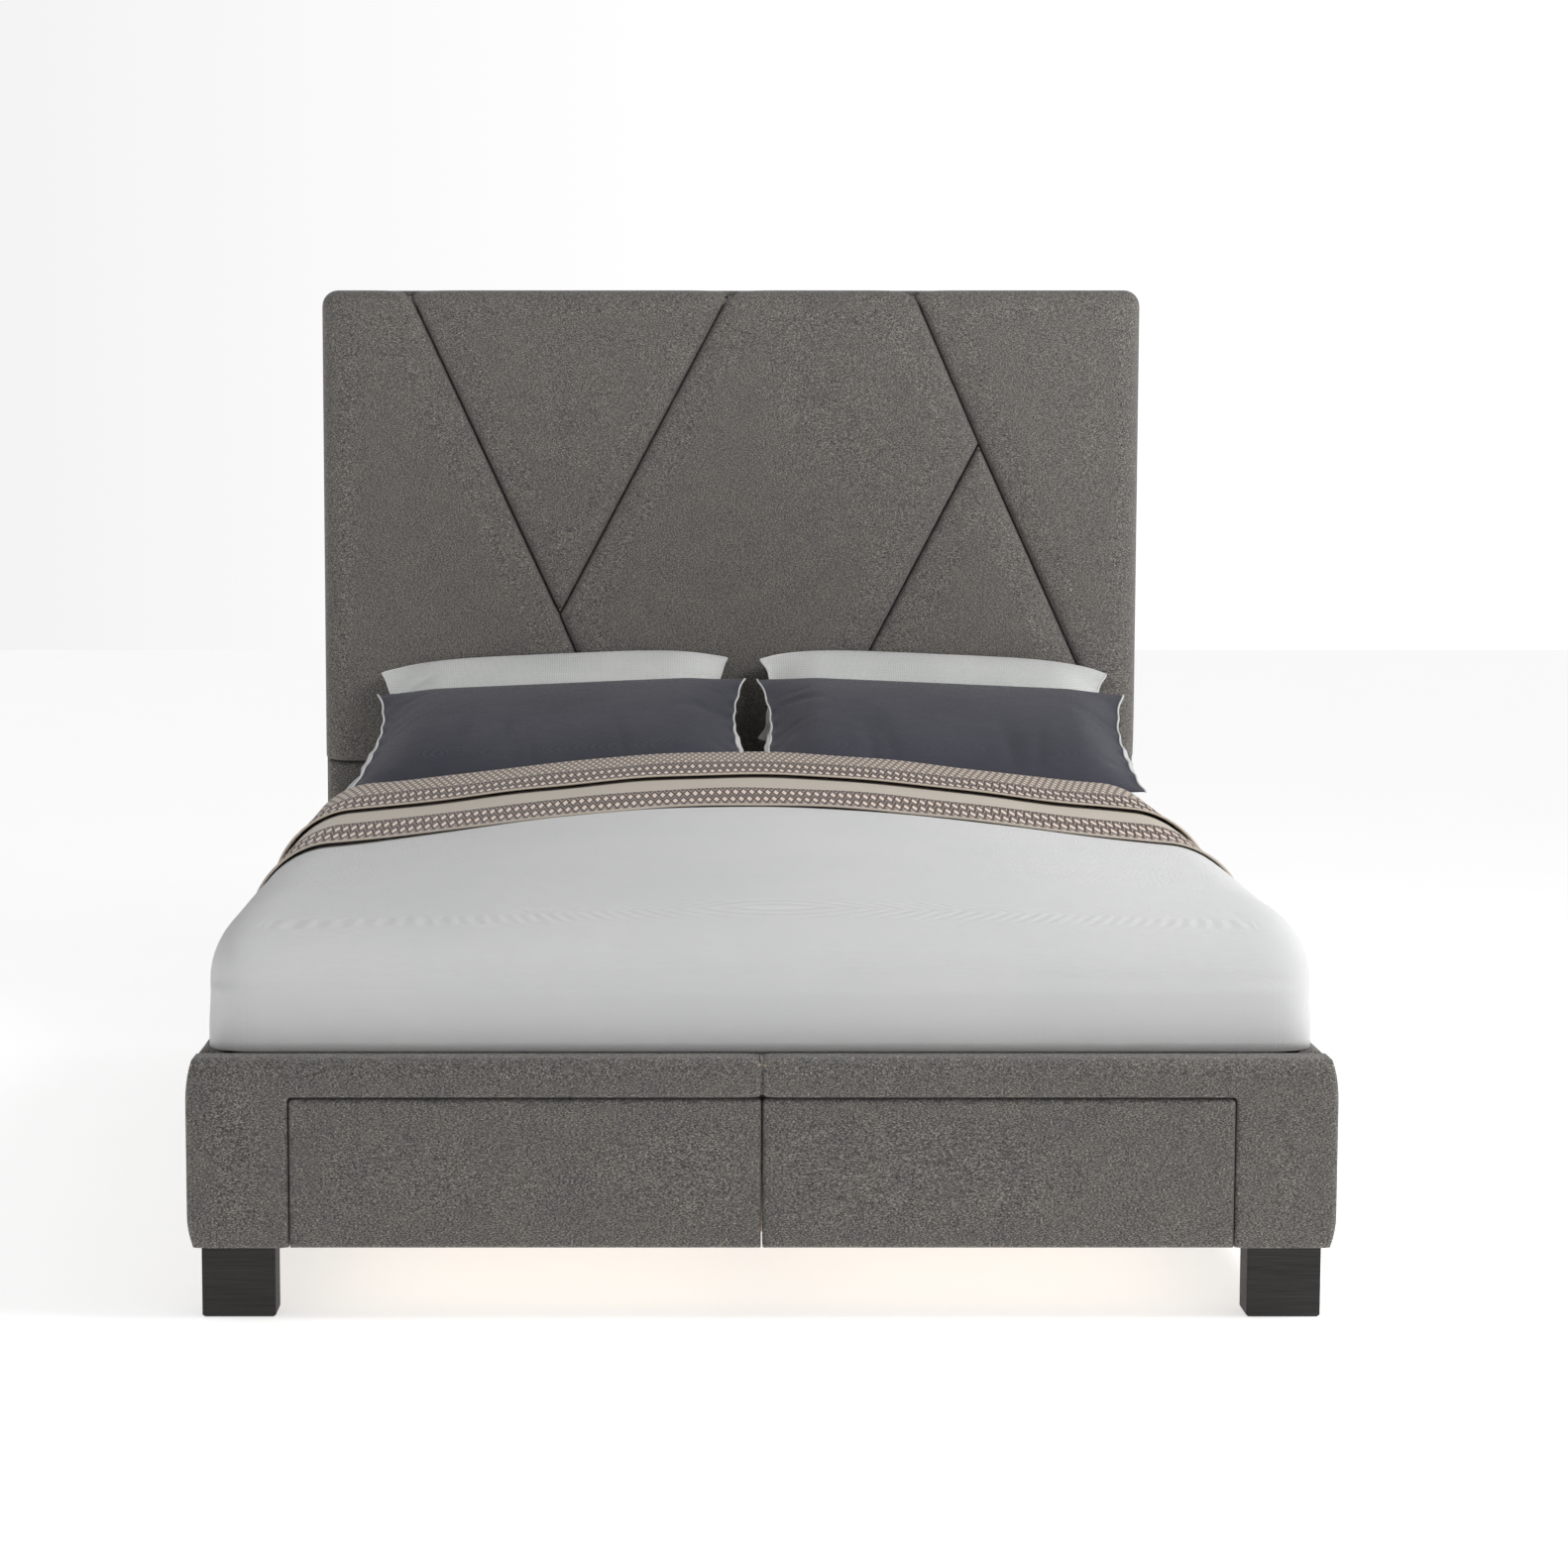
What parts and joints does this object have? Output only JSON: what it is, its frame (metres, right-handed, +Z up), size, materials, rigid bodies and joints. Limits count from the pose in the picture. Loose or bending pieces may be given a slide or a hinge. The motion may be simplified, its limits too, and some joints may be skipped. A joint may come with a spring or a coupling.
{
  "type": "platform bed with storage drawers",
  "caption": "Upholstered queen platform bed with seamed headboard, slat base, block legs and storage drawers in the footboard, made up with mattress and bedding.",
  "frame": {"origin": "on the floor, in the middle of the bed's outline", "axes": "+Z up, +Y from the foot with the drawers towards the headboard, +X to the right seen from the foot"},
  "size_m": [1.63, 2.23, 1.534],
  "materials": {
    "upholstery": "heathered grey-brown woven linen-look polyester, matt",
    "leg_wood": "dark espresso stain, satin",
    "dust_cloth": "black non-woven dust cloth, matt",
    "slide_steel": "zinc-plated, satin",
    "bracket_steel": "black powder coat",
    "bolt_steel": "zinc-plated",
    "webbing": "black woven webbing",
    "ticking": "white quilted mattress cover",
    "duvet_cotton": "smooth white cotton percale",
    "throw_weave": "beige lattice weave with brown and cream patterned bands",
    "sham_cotton": "white cotton with a small raised dot weave",
    "pillow_cotton": "dark slate sateen with white piping",
    "drawer_board": "laminated drawer board, satin",
    "pine": "planed pine, unfinished",
    "frame_timber": "plain structural timber and ply"
  },
  "bodies": {
    "bed_frame": {"bay_rear_rail": "frame_timber", "centre_beam": "pine", "centre_legs": "pine", "drawer_divider": "frame_timber", "duvet": "duvet_cotton", "footboard_cover_left": "upholstery", "footboard_cover_right": "upholstery", "footboard_post_left": "frame_timber", "footboard_post_right": "frame_timber", "footboard_top_rail": "frame_timber", "front_leg_left": "leg_wood", "front_leg_right": "leg_wood", "headboard_back_cover": "dust_cloth", "headboard_backboard": "frame_timber", "headboard_cross_rails": "frame_timber", "headboard_edge_cover": "upholstery", "headboard_lower_panel": "upholstery", "headboard_panel_centre": "upholstery", "headboard_panel_left": "upholstery", "headboard_panel_right": "upholstery", "headboard_panel_triangle": "upholstery", "headboard_panel_vee": "upholstery", "headboard_post_left": "frame_timber", "headboard_post_right": "frame_timber", "mattress": "ticking", "pillow_left": "pillow_cotton", "pillow_right": "pillow_cotton", "rail_bolts": "bolt_steel", "rail_brackets": "bracket_steel", "rear_leg_left": "leg_wood", "rear_leg_right": "leg_wood", "runner_panel_left": "frame_timber", "runner_panel_right": "frame_timber", "sham_left": "sham_cotton", "sham_right": "sham_cotton", "side_rail_cover_left": "upholstery", "side_rail_cover_right": "upholstery", "side_rail_left": "frame_timber", "side_rail_right": "frame_timber", "slat_ledgers": "pine", "slat_straps": "webbing", "slats": "pine", "slide_outer_members": "slide_steel", "throw": "throw_weave"},
    "drawer_left": {"drawer_left_back": "drawer_board", "drawer_left_bottom": "drawer_board", "drawer_left_front_board": "drawer_board", "drawer_left_front_cover": "upholstery", "drawer_left_inner_side": "drawer_board", "drawer_left_outer_side": "drawer_board", "slide_inner_members_left": "slide_steel"},
    "drawer_right": {"drawer_right_back": "drawer_board", "drawer_right_bottom": "drawer_board", "drawer_right_front_board": "drawer_board", "drawer_right_front_cover": "upholstery", "drawer_right_inner_side": "drawer_board", "drawer_right_outer_side": "drawer_board", "slide_inner_members_right": "slide_steel"},
    "slide_middle_left": {"slide_middle_members_left": "slide_steel"},
    "slide_middle_right": {"slide_middle_members_right": "slide_steel"}
  },
  "joints": [
    {"name": "drawer_left_slide", "type": "slide", "parent": "bed_frame", "child": "drawer_left", "axis": [0, -1, 0], "range_m": [0, 0.48]},
    {"name": "slide_middle_left_travel", "type": "slide", "parent": "bed_frame", "child": "slide_middle_left", "axis": [0, -1, 0], "range_m": [0, 0.24]},
    {"name": "drawer_right_slide", "type": "slide", "parent": "bed_frame", "child": "drawer_right", "axis": [0, -1, 0], "range_m": [0, 0.48]},
    {"name": "slide_middle_right_travel", "type": "slide", "parent": "bed_frame", "child": "slide_middle_right", "axis": [0, -1, 0], "range_m": [0, 0.24]}
  ],
  "couplings": [
    {"joint": "slide_middle_left_travel", "follows": "drawer_left_slide", "ratio": 0.5},
    {"joint": "slide_middle_right_travel", "follows": "drawer_right_slide", "ratio": 0.5}
  ]
}
